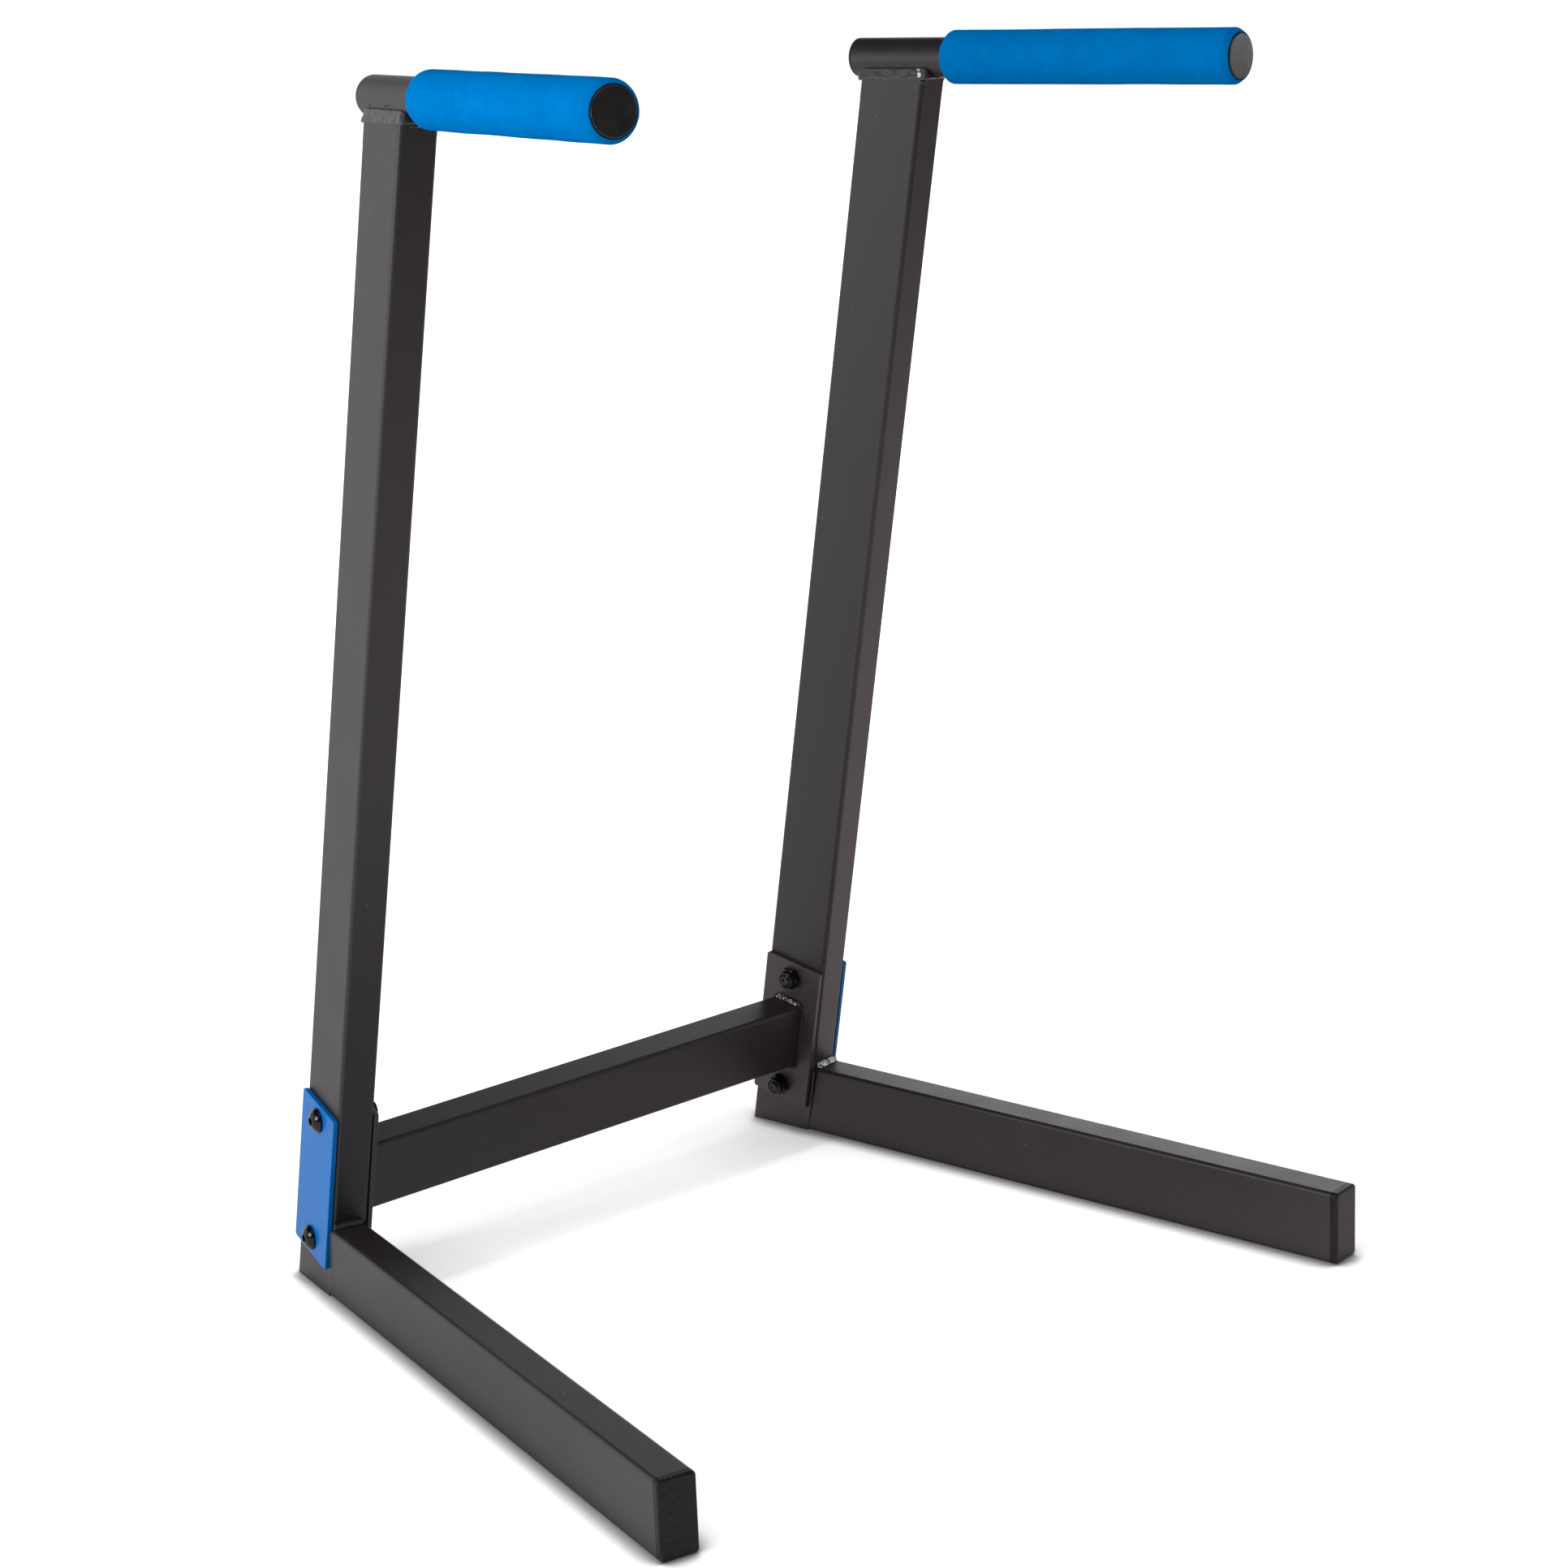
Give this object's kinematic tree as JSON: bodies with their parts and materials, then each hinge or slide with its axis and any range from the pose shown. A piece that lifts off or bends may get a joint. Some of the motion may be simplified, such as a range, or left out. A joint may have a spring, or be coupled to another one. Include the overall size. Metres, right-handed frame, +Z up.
{
  "type": "dip station",
  "caption": "Free-standing dip station: splayed side frames of rectangular tube joined low down by a bolted crossbar, with forward-pointing foam-gripped handles.",
  "frame": {"origin": "on the floor, at the middle of the overall box in plan, under the middle of the station", "axes": "+Z up, -Y the front, where the legs and handles point, +X towards the right frame as seen from the front"},
  "size_m": [0.7108, 0.5958, 0.9555],
  "materials": {
    "powder_coat": "satin charcoal powder coat",
    "blue_coat": "satin blue powder coat",
    "blue_foam": "matte closed-cell foam",
    "black_plastic": "finely grained moulding",
    "black_steel": "glossy black plating",
    "black_nylon": "smooth"
  },
  "bodies": {
    "root": {"crossbar_tube": "powder_coat", "left_upright_tube": "powder_coat", "left_handle_weld": "powder_coat", "left_outer_plate": "blue_coat", "left_crossbar_flange": "powder_coat", "left_crossbar_weld": "powder_coat", "left_upper_button_bolt": "black_steel", "left_upper_lock_nut": "black_steel", "left_upper_nut_insert": "black_nylon", "left_lower_button_bolt": "black_steel", "left_lower_lock_nut": "black_steel", "left_lower_nut_insert": "black_nylon", "left_leg_tube": "powder_coat", "left_leg_end_cap": "black_plastic", "left_leg_weld": "powder_coat", "left_handle_tube": "powder_coat", "left_foam_grip": "blue_foam", "left_handle_front_plug": "black_plastic", "left_handle_rear_plug": "black_plastic", "right_upright_tube": "powder_coat", "right_handle_weld": "powder_coat", "right_outer_plate": "blue_coat", "right_crossbar_flange": "powder_coat", "right_crossbar_weld": "powder_coat", "right_upper_button_bolt": "black_steel", "right_upper_lock_nut": "black_steel", "right_upper_nut_insert": "black_nylon", "right_lower_button_bolt": "black_steel", "right_lower_lock_nut": "black_steel", "right_lower_nut_insert": "black_nylon", "right_leg_tube": "powder_coat", "right_leg_end_cap": "black_plastic", "right_leg_weld": "powder_coat", "right_handle_tube": "powder_coat", "right_foam_grip": "blue_foam", "right_handle_front_plug": "black_plastic", "right_handle_rear_plug": "black_plastic"}
  },
  "joints": []
}
